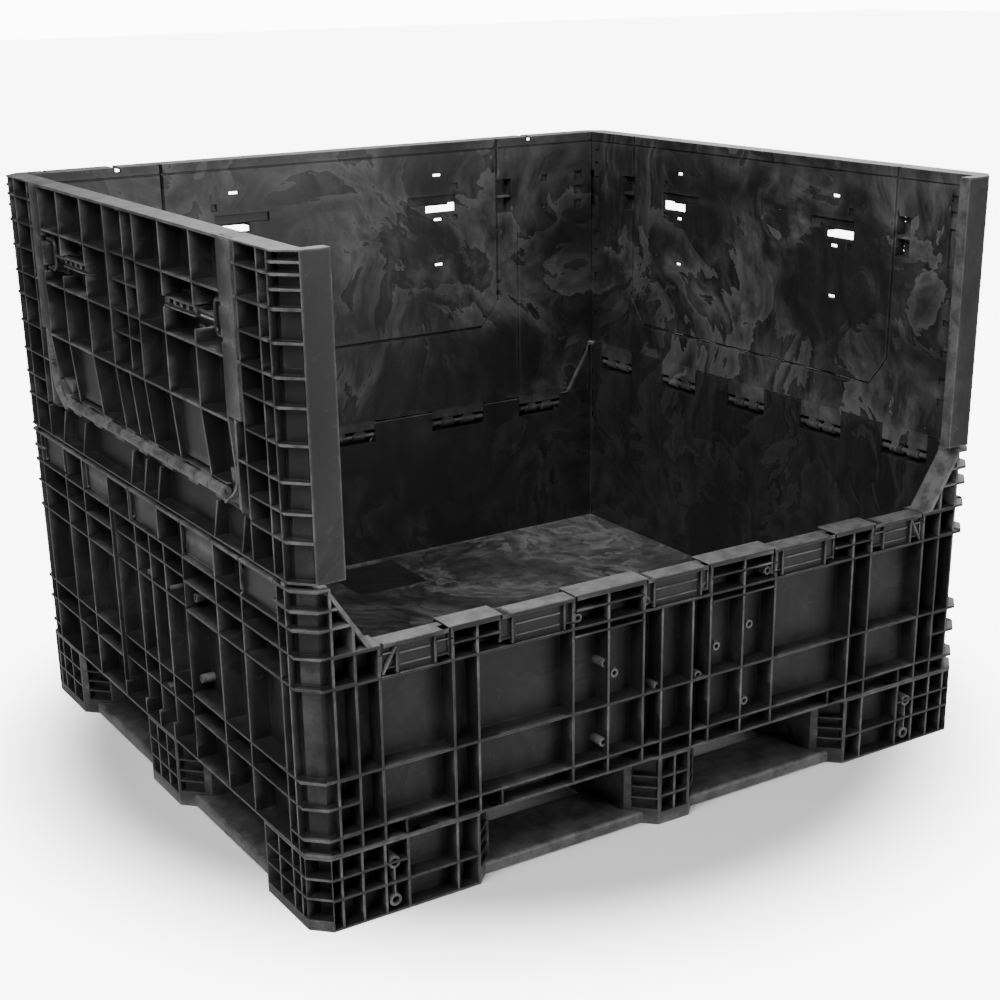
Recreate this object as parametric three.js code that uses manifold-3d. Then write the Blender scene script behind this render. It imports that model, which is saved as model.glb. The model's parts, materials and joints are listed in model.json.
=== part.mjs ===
// Folding-wall bulk container with a four-way pallet base.
// Millimetres, +Z up. Origin: centre of the footprint, on the ground.
// +X runs along the front from the left corner to the right, +Y from the front to the back.
import * as THREE from 'three';
import { mergeVertices } from 'three/addons/utils/BufferGeometryUtils.js';
import Module from 'manifold-3d';

const wasm = await Module();
wasm.setup();

// ---------------------------------------------------------------- driving dimensions
const LENGTH = 1410;            // outside, along X
const WIDTH = 1224;             // outside, along Y
const HEIGHT = 1067;
const SIDE_T = 44;              // thickness of the left and right walls
const END_T = 48;               // thickness of the front and back walls
const CORNER_CUT = 30;          // chamfer on the four outer corners
const GAP = 0.3;                // clearance between neighbouring pieces

const RUNNER_H = 24;            // bottom runners
const RUNNER_W = 150;
const RUNNER_SET_IN = 20;       // runners stand back from the feet by this
const DECK_UNDER = 130;         // underside of the deck and top of the fork openings
const FLOOR = 145;
const SILL = 465;               // top of the front and back base walls
const HIGH_RIM = 572;           // top of the left and right base walls
const WALL_FOOT = 576;          // underside of the left and right upper walls
const BACK_FOOT = 472;          // underside of the back upper wall

const FRONT_FOOT = 302;         // corner foot, seen from the front
const SIDE_FOOT = 177;          // corner foot, seen from the side
const FRONT_MID_HALF = 33;      // middle foot of the front and back, half width
const SIDE_MID_HALF = 65;       // middle foot of the left and right, half width
const THROAT = 45;              // 45 degree flare at each side of a fork opening

const LIP_REACH = 36;           // the side walls' end lips, inward of the wall
const LIP_T = 22;
const SLOPE_TOP = 50;           // the sloped base corner starts here, from the side face
const SLOPE_END = 115;          // and meets the sill here

const RIB = 5;                  // rib thickness
const POCKET = 10;              // depth of the relief between ribs

const SIDE_DOOR_HALF = 405;
const BACK_DOOR_HALF = 396;
const DOOR_FOOT = 650;          // lowest edge of a drop door
const DOOR_GAP = 1.5;
const DOOR_CUT_U = 43;          // chamfer of a door's lower corners
const DOOR_CUT_V = 55;
const LAP_REACH = 44;           // outer lap of a door over the wall beside it
const LAP_T = 6;
const LAP_FOOT = 797;

const ROD_W = 10;               // door hinge axis, in from the outer face
const ROD_V = 664;
const ROD_R = 5;
const KNUCKLE_R = 9.5;
const BORE_R = 5.6;
const KNUCKLE_SHARE = 0.8;      // length of a wall knuckle over the length of its pocket
const HINGE_RELIEF = 14;        // free space kept round the door hinge, above and below it
const HINGE_FACE = 22;          // and inwards from the outer face

const SIDE_PIN_W = 35;          // side wall hinge axis, in from the outer face
const SIDE_PIN_V = 536;
const BACK_PIN_W = 38;
const BACK_PIN_V = 440;
const PIN_R = 5;
const PIN_HOLD = 10;            // length of pin held in the base at each end
const POCKET_BACK = 14;         // material left outside each hinge pocket
const POCKET_DROP = 16;         // pocket floor below the hinge axis
const SIDE_TAB_RISE = 6;        // raised tabs between the side hinges
const END_TAB_RISE = 4;         // and between the front and back hinges
const TAB_FACE = 20;            // tabs start this far in from the outer face

const SIDE_HINGES = [-465, -231, 0, 231, 465];
const BACK_HINGES = [-510, -283, 0, 283, 510];
const SIDE_HINGE_HALF = [60, 60, 60, 60, 60];
const BACK_HINGE_HALF = [58, 70, 64, 70, 58];

const LATCH_LOW = 914;          // centre of a latch's lower arm
const LATCH_HIGH = 968;         // centre of its upper arm
const LATCH_REACH = 45;         // length of the loop that shows on the door
const LATCH_BAR = 9;            // thickness of the latch's bars
const LATCH_W = 20;             // centre of the latch, in from the outer face
const LATCH_TRAVEL = 25;
const SLOT_START = 108;         // latch slot, from the door's edge
const SLOT_LENGTH = 122;
const SLOT_LOW = 922;
const SLOT_HIGH = 955;

const CORNER_LATCH_START = 526; // back wall corner latch, from the centre
const CORNER_LATCH_LOW = 903;
const CORNER_LATCH_HIGH = 977;
const CORNER_TRAVEL = 20;

// ---------------------------------------------------------------- finishes
const BLACK = new THREE.Color(0.035, 0.035, 0.037);
const finish = {
  shell: () => new THREE.MeshStandardMaterial({ color: BLACK, roughness: 0.55, metalness: 0 }),
  floor: () => new THREE.MeshStandardMaterial({ color: 0x1c1c1d, roughness: 0.5, metalness: 0 }),
  latch: () => new THREE.MeshStandardMaterial({ color: 0x161617, roughness: 0.45, metalness: 0 }),
  pin: () => new THREE.MeshStandardMaterial({ color: 0x3a3b3d, roughness: 0.4, metalness: 0.6 }),
};

// ---------------------------------------------------------------- solids
// A wall is drawn in its own frame: u along the wall, w inward from its outer face, v up.

function solid(geometry) {
  geometry.deleteAttribute('normal');
  geometry.deleteAttribute('uv');
  const merged = mergeVertices(geometry, 1e-3);
  const vertProperties = Float32Array.from(merged.attributes.position.array);
  const triVerts = Uint32Array.from(merged.index.array);
  return new wasm.Manifold(new wasm.Mesh({ numProp: 3, vertProperties, triVerts }));
}

function block(u0, u1, w0, w1, v0, v1) {
  const box = new THREE.BoxGeometry(u1 - u0, w1 - w0, v1 - v0);
  box.translate((u0 + u1) / 2, (w0 + w1) / 2, (v0 + v1) / 2);
  return solid(box);
}

function outline(points) {
  return new THREE.Shape(points.map(([a, b]) => new THREE.Vector2(a, b)));
}

// a plan outline (u, w) raised from v0 to v1
function raised(points, v0, v1) {
  const body = new THREE.ExtrudeGeometry(outline(points), { depth: v1 - v0, bevelEnabled: false });
  body.translate(0, 0, v0);
  return solid(body);
}

// an outline seen from the front (u, v), from depth w0 to w1
function plate(points, w0, w1) {
  const body = new THREE.ExtrudeGeometry(outline(points), { depth: w1 - w0, bevelEnabled: false });
  body.rotateX(Math.PI / 2);
  body.translate(0, w1, 0);
  return solid(body);
}

// a section (w, v) run along the wall from u0 to u1
function run(points, u0, u1) {
  const body = new THREE.ExtrudeGeometry(outline(points), { depth: u1 - u0, bevelEnabled: false });
  body.rotateX(Math.PI / 2);
  body.rotateZ(Math.PI / 2);
  body.translate(u0, 0, 0);
  return solid(body);
}

function rod(radius, u0, u1, w, v, sides = 12) {
  const body = new THREE.CylinderGeometry(radius, radius, u1 - u0, sides);
  body.rotateZ(Math.PI / 2);
  body.translate((u0 + u1) / 2, w, v);
  return solid(body);
}

// square relief between neighbouring rib lines
function relieve(body, columns, rows, keepOut = () => false) {
  let result = body;
  for (const [u0, u1] of columns) {
    for (const [v0, v1] of rows) {
      if (keepOut(u0, u1, v0, v1)) continue;
      const half = RIB / 2;
      result = result.subtract(block(u0 + half, u1 - half, -1, POCKET, v0 + half, v1 - half));
    }
  }
  return result;
}

const between = (lines) => lines.slice(1).map((line, i) => [lines[i], line]);
const mirrored = (halves) => [...halves.map((h) => -h), ...halves.slice().reverse()].sort((a, b) => a - b);

// ---------------------------------------------------------------- the scene graph
const container = new THREE.Group();

function wallFrame(turn, x, y) {
  const frame = new THREE.Group();
  frame.rotation.z = turn;
  frame.position.set(x, y, 0);
  container.add(frame);
  return frame;
}

const frames = {
  front: wallFrame(0, 0, -WIDTH / 2),
  back: wallFrame(Math.PI, 0, WIDTH / 2),
  left: wallFrame(-Math.PI / 2, -LENGTH / 2, 0),
  right: wallFrame(Math.PI / 2, LENGTH / 2, 0),
  ground: container,
};

function place(frame, name, body, look) {
  const mesh = body.getMesh();
  const geometry = new THREE.BufferGeometry();
  geometry.setAttribute('position', new THREE.BufferAttribute(Float32Array.from(mesh.vertProperties), 3));
  geometry.setIndex(new THREE.BufferAttribute(Uint32Array.from(mesh.triVerts), 1));
  geometry.computeVertexNormals();
  const piece = new THREE.Mesh(geometry, look());
  piece.name = name;
  frames[frame].add(piece);
}

// ---------------------------------------------------------------- pallet base
const innerX = LENGTH / 2 - SIDE_T;
const innerY = WIDTH / 2 - END_T;

function makeDeck() {
  const plateCentre = [-6, 455];
  const plateHalf = 84;
  const reach = [innerX - GAP, innerY - GAP];
  let deck = block(-reach[0], reach[0], -reach[1], reach[1], DECK_UNDER + GAP, FLOOR);
  const [cx, cy] = plateCentre;
  const seat = plateHalf + 0.6;
  deck = deck.subtract(block(cx - seat, cx + seat, cy - seat, cy + seat, FLOOR - 4, FLOOR + 1));
  place('ground', 'deck_floor', deck, finish.floor);
  const cover = block(cx - plateHalf, cx + plateHalf, cy - plateHalf, cy + plateHalf,
    FLOOR - 4 + GAP, FLOOR - 0.2);
  place('ground', 'floor_cover_plate', cover, finish.shell);
}

const cornerFoot = [
  [CORNER_CUT, 0], [FRONT_FOOT, 0], [FRONT_FOOT + THROAT, THROAT],
  [FRONT_FOOT + THROAT, SIDE_FOOT + THROAT], [THROAT, SIDE_FOOT + THROAT],
  [0, SIDE_FOOT], [0, CORNER_CUT],
];

function makeFeet() {
  const foot = [RUNNER_H + GAP, DECK_UNDER];
  for (const [endName, sy] of [['front', -1], ['back', 1]]) {
    for (const [sideName, sx] of [['left', -1], ['right', 1]]) {
      const plan = cornerFoot.map(([a, b]) => [sx * (LENGTH / 2 - a), sy * (WIDTH / 2 - b)]);
      place('ground', `foot_${endName}_${sideName}`, raised(plan, ...foot), finish.shell);
    }
  }
  const middle = (half) => [
    [-half, 0], [half, 0], [half + THROAT, THROAT], [half + THROAT, RUNNER_W],
    [-half - THROAT, RUNNER_W], [-half - THROAT, THROAT],
  ];
  for (const side of ['front', 'back']) {
    place(side, `foot_${side}_middle`, raised(middle(FRONT_MID_HALF), ...foot), finish.shell);
  }
  for (const side of ['left', 'right']) {
    place(side, `foot_${side}_middle`, raised(middle(SIDE_MID_HALF), ...foot), finish.shell);
  }
  const halfX = FRONT_MID_HALF + THROAT;
  const halfY = SIDE_MID_HALF + THROAT;
  place('ground', 'foot_centre', block(-halfX, halfX, -halfY, halfY, ...foot), finish.shell);
}

// A perimeter runner is flush with the feet and stands back between them.
function makeRunners() {
  const flushRunner = (half, foot, midHalf) => [
    [-half + CORNER_CUT, 0], [-half + foot, 0], [-half + foot + RUNNER_SET_IN, RUNNER_SET_IN],
    [-midHalf - RUNNER_SET_IN, RUNNER_SET_IN], [-midHalf, 0], [midHalf, 0],
    [midHalf + RUNNER_SET_IN, RUNNER_SET_IN], [half - foot - RUNNER_SET_IN, RUNNER_SET_IN],
    [half - foot, 0], [half - CORNER_CUT, 0], [half, CORNER_CUT], [half, RUNNER_W],
    [-half, RUNNER_W], [-half, CORNER_CUT],
  ];
  for (const side of ['front', 'back']) {
    const plan = flushRunner(LENGTH / 2, FRONT_FOOT, FRONT_MID_HALF);
    place(side, `runner_${side}`, raised(plan, 0, RUNNER_H), finish.shell);
  }
  const reach = WIDTH / 2 - RUNNER_W - GAP;
  const footEnd = WIDTH / 2 - SIDE_FOOT;
  for (const side of ['left', 'right']) {
    const plan = [
      [-reach, 0], [-footEnd, 0], [-footEnd + RUNNER_SET_IN, RUNNER_SET_IN],
      [-SIDE_MID_HALF - RUNNER_SET_IN, RUNNER_SET_IN], [-SIDE_MID_HALF, 0], [SIDE_MID_HALF, 0],
      [SIDE_MID_HALF + RUNNER_SET_IN, RUNNER_SET_IN], [footEnd - RUNNER_SET_IN, RUNNER_SET_IN],
      [footEnd, 0], [reach, 0], [reach, RUNNER_W], [-reach, RUNNER_W],
    ];
    place(side, `runner_${side}`, raised(plan, 0, RUNNER_H), finish.shell);
  }
  const halfX = FRONT_MID_HALF + THROAT;
  const halfY = SIDE_MID_HALF + THROAT;
  const crossX = LENGTH / 2 - RUNNER_W - GAP;
  place('ground', 'runner_centre_across', block(-crossX, crossX, -halfY, halfY, 0, RUNNER_H), finish.shell);
  const crossY = WIDTH / 2 - RUNNER_W - GAP;
  for (const [name, sy] of [['front', -1], ['back', 1]]) {
    const near = sy * (halfY + GAP);
    const far = sy * crossY;
    const strip = block(-halfX, halfX, Math.min(near, far), Math.max(near, far), 0, RUNNER_H);
    place('ground', `runner_centre_${name}`, strip, finish.shell);
  }
}

// Pockets in the inner edge of a base wall, and the bores that hold the hinge pins.
function cutHingePockets(body, hinges, halves, pinW, pinV, thickness, top) {
  let result = body;
  hinges.forEach((centre, i) => {
    const half = halves[i];
    result = result.subtract(block(centre - half, centre + half, POCKET_BACK, thickness + 1,
      pinV - POCKET_DROP, top));
    const hold = half + PIN_HOLD;
    result = result.subtract(rod(PIN_R + GAP, centre - hold, centre + hold, pinW, pinV));
  });
  return result;
}

const END_RIBS = mirrored([617, 576, 445, 400, 216.5, 145, 72, 33]);
const SIDE_RIBS = mirrored([540, 405, 304, 168, 67]);

function makeBaseWalls() {
  const reach = innerX - GAP;
  const slopeTop = LENGTH / 2 - SLOPE_TOP;
  const slopeEnd = LENGTH / 2 - SLOPE_END;
  const face = [
    [-reach, DECK_UNDER + GAP], [reach, DECK_UNDER + GAP], [reach, HIGH_RIM], [slopeTop, HIGH_RIM],
    [slopeEnd, SILL], [-slopeEnd, SILL], [-slopeTop, HIGH_RIM], [-reach, HIGH_RIM],
  ];
  for (const side of ['front', 'back']) {
    let wall = plate(face, 0, END_T);
    wall = wall.add(block(-slopeEnd, slopeEnd, TAB_FACE, END_T, SILL - 1, SILL + END_TAB_RISE));
    wall = relieve(wall, between(END_RIBS), [[163, 258], [258, 410]]);
    wall = cutHingePockets(wall, BACK_HINGES, BACK_HINGE_HALF, BACK_PIN_W, BACK_PIN_V, END_T,
      SILL + END_TAB_RISE + 1);
    place(side, `base_wall_${side}`, wall, finish.shell);
  }
  const half = WIDTH / 2;
  const plan = [
    [-half, CORNER_CUT], [-half + CORNER_CUT, 0], [half - CORNER_CUT, 0], [half, CORNER_CUT],
    [half, SIDE_T], [-half, SIDE_T],
  ];
  for (const side of ['left', 'right']) {
    let wall = raised(plan, DECK_UNDER + GAP, HIGH_RIM);
    wall = wall.add(block(-half + END_T, half - END_T, TAB_FACE, SIDE_T, HIGH_RIM - 1, HIGH_RIM + SIDE_TAB_RISE));
    wall = relieve(wall, between(SIDE_RIBS), [[133, 215], [258, 413], [508, 568]]);
    wall = cutHingePockets(wall, SIDE_HINGES, SIDE_HINGE_HALF, SIDE_PIN_W, SIDE_PIN_V, SIDE_T,
      HIGH_RIM + SIDE_TAB_RISE + 1);
    place(side, `base_wall_${side}`, wall, finish.shell);
  }
}

function makeWallPins() {
  const sets = [
    ['left', SIDE_HINGES, SIDE_HINGE_HALF, SIDE_PIN_W, SIDE_PIN_V],
    ['right', SIDE_HINGES, SIDE_HINGE_HALF, SIDE_PIN_W, SIDE_PIN_V],
    ['back', BACK_HINGES, BACK_HINGE_HALF, BACK_PIN_W, BACK_PIN_V],
  ];
  for (const [side, hinges, halves, w, v] of sets) {
    hinges.forEach((centre, i) => {
      const hold = halves[i] + PIN_HOLD - 1;
      place(side, `${side}_wall_pin_${i + 1}`, rod(PIN_R, centre - hold, centre + hold, w, v), finish.pin);
    });
  }
}

// Each hinge's knuckle, and the strip of wall that carries it down into the pocket.
function addWallKnuckles(body, hinges, halves, pinW, pinV, foot, thickness) {
  const endPlay = 3;
  const strip = 12;
  let result = body;
  hinges.forEach((centre, i) => {
    const half = halves[i] - endPlay;
    const underside = pinV + strip;
    result = result.add(block(centre - half, centre + half, pinW - KNUCKLE_R, thickness, underside, foot + 2));
    const [u0, u1] = [centre - half * KNUCKLE_SHARE, centre + half * KNUCKLE_SHARE];
    result = result.add(rod(KNUCKLE_R, u0, u1, pinW, pinV));
    result = result.add(block(u0, u1, pinW - KNUCKLE_R, pinW + KNUCKLE_R - 1, pinV, underside + 1));
    result = result.subtract(rod(BORE_R, centre - half - 1, centre + half + 1, pinW, pinV));
  });
  return result;
}

// ---------------------------------------------------------------- upper walls and drop doors
function doorFace(half, grow) {
  const h = half + grow;
  const foot = DOOR_FOOT - grow;
  return [
    [-h, HEIGHT + 1], [-h, DOOR_FOOT + DOOR_CUT_V], [-half + DOOR_CUT_U, DOOR_FOOT - grow * 0.5],
    [-half + DOOR_CUT_U, foot], [half - DOOR_CUT_U, foot],
    [half - DOOR_CUT_U, DOOR_FOOT - grow * 0.5], [h, DOOR_FOOT + DOOR_CUT_V], [h, HEIGHT + 1],
  ];
}

// The sloping band above or below the door hinge, drawn in from the outer face.
const bandTop = DOOR_FOOT + DOOR_CUT_V + 2;
const bandBelow = [[-1, 582], [0, 582], [ROD_W, DOOR_FOOT], [ROD_W, bandTop], [-1, bandTop]];
const bandAbove = [[-1, 650], [ROD_W, 650], [ROD_W, ROD_V + HINGE_RELIEF], [0, 790], [-1, 790]];

function hingeSpans(half) {
  const reach = half - DOOR_CUT_U - 6;
  const count = 5;
  const pitch = (2 * reach) / count;
  const spans = [];
  for (let i = 0; i < count; i += 1) {
    spans.push({ u0: -reach + i * pitch + 0.8, u1: -reach + (i + 1) * pitch - 0.8, onDoor: i % 2 === 1 });
  }
  return { spans, reach };
}

function addDoorKnuckles(body, half, onDoor) {
  let result = body;
  for (const span of hingeSpans(half).spans) {
    if (span.onDoor !== onDoor) continue;
    const [arm0, arm1] = onDoor ? [ROD_V, ROD_V + HINGE_RELIEF + 2] : [DOOR_FOOT - 4, ROD_V];
    result = result.add(rod(KNUCKLE_R, span.u0, span.u1, ROD_W, ROD_V));
    result = result.add(block(span.u0, span.u1, ROD_W, ROD_W + KNUCKLE_R, arm0, arm1));
    result = result.subtract(rod(BORE_R, span.u0 - 0.5, span.u1 + 0.5, ROD_W, ROD_V));
  }
  return result;
}

function slotSpan(half, side) {
  const near = side * (half - SLOT_START);
  const far = side * (half - SLOT_START - SLOT_LENGTH);
  return [Math.min(near, far), Math.max(near, far)];
}

function makeDoor(name, half, thickness) {
  let door = plate(doorFace(half, 0), 0, thickness);
  door = door.intersect(block(-half - 1, half + 1, -1, thickness + 1, DOOR_FOOT, HEIGHT));
  const relief = half - DOOR_CUT_U + 1;
  door = door.subtract(block(-relief, relief, -1, HINGE_FACE, DOOR_FOOT - 1, ROD_V + HINGE_RELIEF));
  door = door.subtract(run(bandAbove, -half - 1, half + 1));
  const ribs = mirrored([half - 5, 304, 180, 67]);
  const latchRow = (u0, u1, v0) => v0 === 888 && Math.abs(u0 + u1) > 200;
  door = relieve(door, between(ribs), [[790, 888], [888, 985], [985, 1062]], latchRow);
  for (const side of [-1, 1]) {
    const edge = side * half;
    const reach = side * (half + LAP_REACH);
    door = door.add(block(Math.min(edge - side * 2, reach), Math.max(edge - side * 2, reach), 0, LAP_T,
      LAP_FOOT, HEIGHT));
    const [slot0, slot1] = slotSpan(half, side);
    door = door.subtract(block(slot0, slot1, -1, thickness + 1, SLOT_LOW, SLOT_HIGH));
    door = door.add(block(slot0 - 1, slot1 + 1, 4, 12, SLOT_LOW + 8, SLOT_LOW + 23));
    const [far, tip] = [side * (half - LATCH_REACH - 20), side * (half + 1)];
    door = door.subtract(block(Math.min(far, tip), Math.max(far, tip), LATCH_W - 12, LATCH_W + 8,
      LATCH_LOW - 8, LATCH_HIGH + 8));
    const [grip0, grip1] = [side * (half - LATCH_REACH - 20), side * (half - 4)];
    door = door.subtract(block(Math.min(grip0, grip1), Math.max(grip0, grip1), -1, LATCH_W,
      LATCH_LOW - 8, LATCH_HIGH + 8));
  }
  door = addDoorKnuckles(door, half, true);
  place(name, `${name}_door`, door, finish.shell);

  const rodEnd = hingeSpans(half).reach - 1;
  place(name, `${name}_door_rod`, rod(ROD_R, -rodEnd, rodEnd, ROD_W, ROD_V), finish.pin);
  makeDoorLatch(name, half, -1);
  makeDoorLatch(name, half, 1);
}

// A latch is a loop lying in the door's edge; its two arms slide into the wall beside it.
function makeDoorLatch(name, half, side) {
  const bar = LATCH_BAR / 2;
  const tip = side * (half - 2);
  const bend = side * (half - LATCH_REACH);
  const [u0, u1] = [Math.min(tip, bend), Math.max(tip, bend)];
  const w = [LATCH_W - bar, LATCH_W + bar];
  let latch = block(u0, u1, ...w, LATCH_LOW - bar, LATCH_HIGH + bar);
  const [hole0, hole1] = [Math.min(tip + side, bend + side * LATCH_BAR), Math.max(tip + side, bend + side * LATCH_BAR)];
  latch = latch.subtract(block(hole0, hole1, LATCH_W - 9, LATCH_W + 9, LATCH_LOW + bar, LATCH_HIGH - bar));
  const hand = side < 0 ? 'a' : 'b';
  place(name, `${name}_door_latch_${hand}`, latch, finish.latch);
}

function cutDoorway(wall, half, thickness) {
  const half2 = half + DOOR_GAP;
  let result = wall.subtract(plate(doorFace(half, DOOR_GAP), -1, thickness + 1));
  const relief = half - DOOR_CUT_U + 2;
  result = result.subtract(block(-relief, relief, -1, HINGE_FACE + 1, ROD_V - HINGE_RELIEF, DOOR_FOOT + 5));
  result = result.subtract(run(bandBelow, -half, half));
  for (const side of [-1, 1]) {
    const edge = side * (half2 - 1);
    const lap = side * (half + LAP_REACH + DOOR_GAP);
    result = result.subtract(block(Math.min(edge, lap), Math.max(edge, lap), -1, LAP_T + 1,
      LAP_FOOT - DOOR_GAP, HEIGHT + 1));
    const end = side * (half + LATCH_TRAVEL + 15);
    for (const centre of [LATCH_LOW, LATCH_HIGH]) {
      result = result.subtract(block(Math.min(edge, end), Math.max(edge, end), LATCH_W - 8, thickness + 1,
        centre - 16, centre + 16));
    }
  }
  return addDoorKnuckles(result, half, false);
}

function makeSideWalls() {
  const half = WIDTH / 2;
  const plan = [
    [-half, CORNER_CUT], [-half + CORNER_CUT, 0], [half - CORNER_CUT, 0], [half, CORNER_CUT],
    [half, SIDE_T + LIP_REACH], [half - LIP_T, SIDE_T + LIP_REACH], [half - LIP_T, SIDE_T],
    [-half + LIP_T, SIDE_T], [-half + LIP_T, SIDE_T + LIP_REACH], [-half, SIDE_T + LIP_REACH],
  ];
  const columns = [[-571, -463], [463, 571]];
  const rows = between([582, 645, 735, 790, 888, 985, 1064]);
  for (const side of ['left', 'right']) {
    let wall = raised(plan, WALL_FOOT + SIDE_TAB_RISE - 2, HEIGHT);
    wall = relieve(wall, columns, rows);
    wall = cutDoorway(wall, SIDE_DOOR_HALF, SIDE_T);
    for (const end of [-1, 1]) {
      const [near, far] = [end * (half - LIP_T), end * (half - END_T)];
      wall = wall.subtract(block(Math.min(near, far), Math.max(near, far), SIDE_T - CORNER_TRAVEL - 4, SIDE_T + 1,
        CORNER_LATCH_LOW - 3, CORNER_LATCH_HIGH + 3));
    }
    wall = addWallKnuckles(wall, SIDE_HINGES, SIDE_HINGE_HALF, SIDE_PIN_W, SIDE_PIN_V,
      WALL_FOOT + SIDE_TAB_RISE, SIDE_T);
    place(side, `${side}_wall`, wall, finish.shell);
    makeDoor(side, SIDE_DOOR_HALF, SIDE_T);
  }
}

function makeBackWall() {
  const edge = innerX - 3;
  const inset = LENGTH / 2 - SIDE_T - LIP_REACH - 3;
  const slopeEnd = LENGTH / 2 - SLOPE_END - 4;
  const slopeTop = HIGH_RIM + 8;
  const face = (u) => [
    [-slopeEnd, BACK_FOOT], [slopeEnd, BACK_FOOT], [u, BACK_FOOT + (u - slopeEnd) * 1.65],
    [u, HEIGHT], [-u, HEIGHT], [-u, BACK_FOOT + (u - slopeEnd) * 1.65],
  ];
  let wall = plate(face(edge), LIP_T + 1.5, END_T);
  wall = wall.add(plate(face(inset), 0, END_T));
  wall = wall.subtract(block(edge - 8, edge + 1, -1, END_T + 1, BACK_FOOT - 1, slopeTop));
  wall = wall.subtract(block(-edge - 1, -edge + 8, -1, END_T + 1, BACK_FOOT - 1, slopeTop));
  const columns = [[-615, -530], [530, 615]];
  wall = relieve(wall, columns, between([600, 690, 790, 888]));
  wall = relieve(wall, columns, [[990, 1062]]);
  wall = cutDoorway(wall, BACK_DOOR_HALF, END_T);
  for (const side of [-1, 1]) {
    const start = side * (CORNER_LATCH_START - 30);
    const face1 = side * 610;
    const end = side * (edge + 1);
    wall = wall.subtract(block(Math.min(start, face1), Math.max(start, face1), -1, 42,
      CORNER_LATCH_LOW - 2, CORNER_LATCH_HIGH + 2));
    wall = wall.subtract(block(Math.min(start, end), Math.max(start, end), 27, 42,
      CORNER_LATCH_LOW - 2, CORNER_LATCH_HIGH + 2));
  }
  wall = addWallKnuckles(wall, BACK_HINGES, BACK_HINGE_HALF, BACK_PIN_W, BACK_PIN_V, BACK_FOOT, END_T);
  place('back', 'back_wall', wall, finish.shell);
  makeDoor('back', BACK_DOOR_HALF, END_T);
  for (const side of [-1, 1]) makeCornerLatch(side, edge);
}

// A corner latch slides out of the back wall's end into a side wall.
function makeCornerLatch(side, edge) {
  const heel = side * CORNER_LATCH_START;
  const nose = side * (edge - 2);
  const grip = side * (CORNER_LATCH_START + 16);
  const bolt = block(Math.min(heel, nose), Math.max(heel, nose), 28, 41, CORNER_LATCH_LOW, CORNER_LATCH_HIGH);
  const pull = block(Math.min(heel, grip), Math.max(heel, grip), 8, 29, CORNER_LATCH_LOW + 12,
    CORNER_LATCH_HIGH - 12);
  const hand = side < 0 ? 'a' : 'b';
  place('back', `back_corner_latch_${hand}`, bolt.add(pull), finish.latch);
}

makeDeck();
makeFeet();
makeRunners();
makeBaseWalls();
makeWallPins();
makeSideWalls();
makeBackWall();

export default container;
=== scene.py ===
"""Folding-wall bulk container: ribbed black mouldings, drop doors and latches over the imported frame.

Lengths are millimetres until a mesh is made. Each wall has its own frame: u along it, w inward, v up.
"""
import json
import math
from collections import defaultdict

import bmesh
import bpy
from mathutils import Euler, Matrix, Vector

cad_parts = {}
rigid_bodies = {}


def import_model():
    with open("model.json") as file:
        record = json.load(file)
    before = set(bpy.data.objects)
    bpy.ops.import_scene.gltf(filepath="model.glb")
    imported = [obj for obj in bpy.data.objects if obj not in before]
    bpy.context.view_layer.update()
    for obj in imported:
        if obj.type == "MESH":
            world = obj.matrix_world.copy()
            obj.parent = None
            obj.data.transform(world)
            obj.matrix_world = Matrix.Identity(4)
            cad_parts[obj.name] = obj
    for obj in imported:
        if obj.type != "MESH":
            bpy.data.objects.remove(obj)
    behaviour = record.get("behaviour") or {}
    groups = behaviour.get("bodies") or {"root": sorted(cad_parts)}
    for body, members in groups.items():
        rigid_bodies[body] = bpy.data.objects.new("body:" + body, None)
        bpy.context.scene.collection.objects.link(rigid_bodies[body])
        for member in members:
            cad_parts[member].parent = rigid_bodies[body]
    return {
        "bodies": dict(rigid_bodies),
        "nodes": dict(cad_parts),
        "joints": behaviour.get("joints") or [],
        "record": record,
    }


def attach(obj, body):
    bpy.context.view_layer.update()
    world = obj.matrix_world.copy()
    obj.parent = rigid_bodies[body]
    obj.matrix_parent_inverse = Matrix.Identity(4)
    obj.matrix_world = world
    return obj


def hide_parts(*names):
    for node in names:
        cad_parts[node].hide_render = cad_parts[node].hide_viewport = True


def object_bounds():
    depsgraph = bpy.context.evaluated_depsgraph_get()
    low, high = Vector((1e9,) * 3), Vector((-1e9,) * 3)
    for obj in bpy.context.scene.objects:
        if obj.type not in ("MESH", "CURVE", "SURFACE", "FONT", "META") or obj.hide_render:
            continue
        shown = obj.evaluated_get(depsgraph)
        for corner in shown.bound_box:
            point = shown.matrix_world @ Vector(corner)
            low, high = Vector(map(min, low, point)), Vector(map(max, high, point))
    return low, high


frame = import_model()
cad_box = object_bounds()

MM = 0.001
LENGTH, WIDTH, HEIGHT = [(cad_box[1][i] - cad_box[0][i]) / MM for i in range(3)]
SIDE_T = 44  # thickness of the side walls
END_T = 48  # and of the front and back
CORNER = 30  # the cut across each corner
DECK_UNDER = 130
SILL = 465  # top of the base at front and back
HIGH_RIM = 572  # top of the base at its sides and corners
LEDGE = 578  # top of the ledge below each side wall
THIN_RIM = 1064  # underside of a side wall's rim
THICK_RIM = 1062  # underside of the rim of the back wall and the doors
RIM_LINE = (1045, 1048.5)  # a fine groove inside, under the rim
WALL_LOW = 580
BACK_LOW = 472
LIP_REACH = 36
LIP_T = 22
RIB = 5

SIDE_DOOR = 405
BACK_DOOR = 396
DOOR_LOW = 650
DOOR_CUT = (43, 55)
SEAM = 1.5
LAP = 44
LAP_LOW = 797
HINGE_W = 10
HINGE_V = 664

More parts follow.
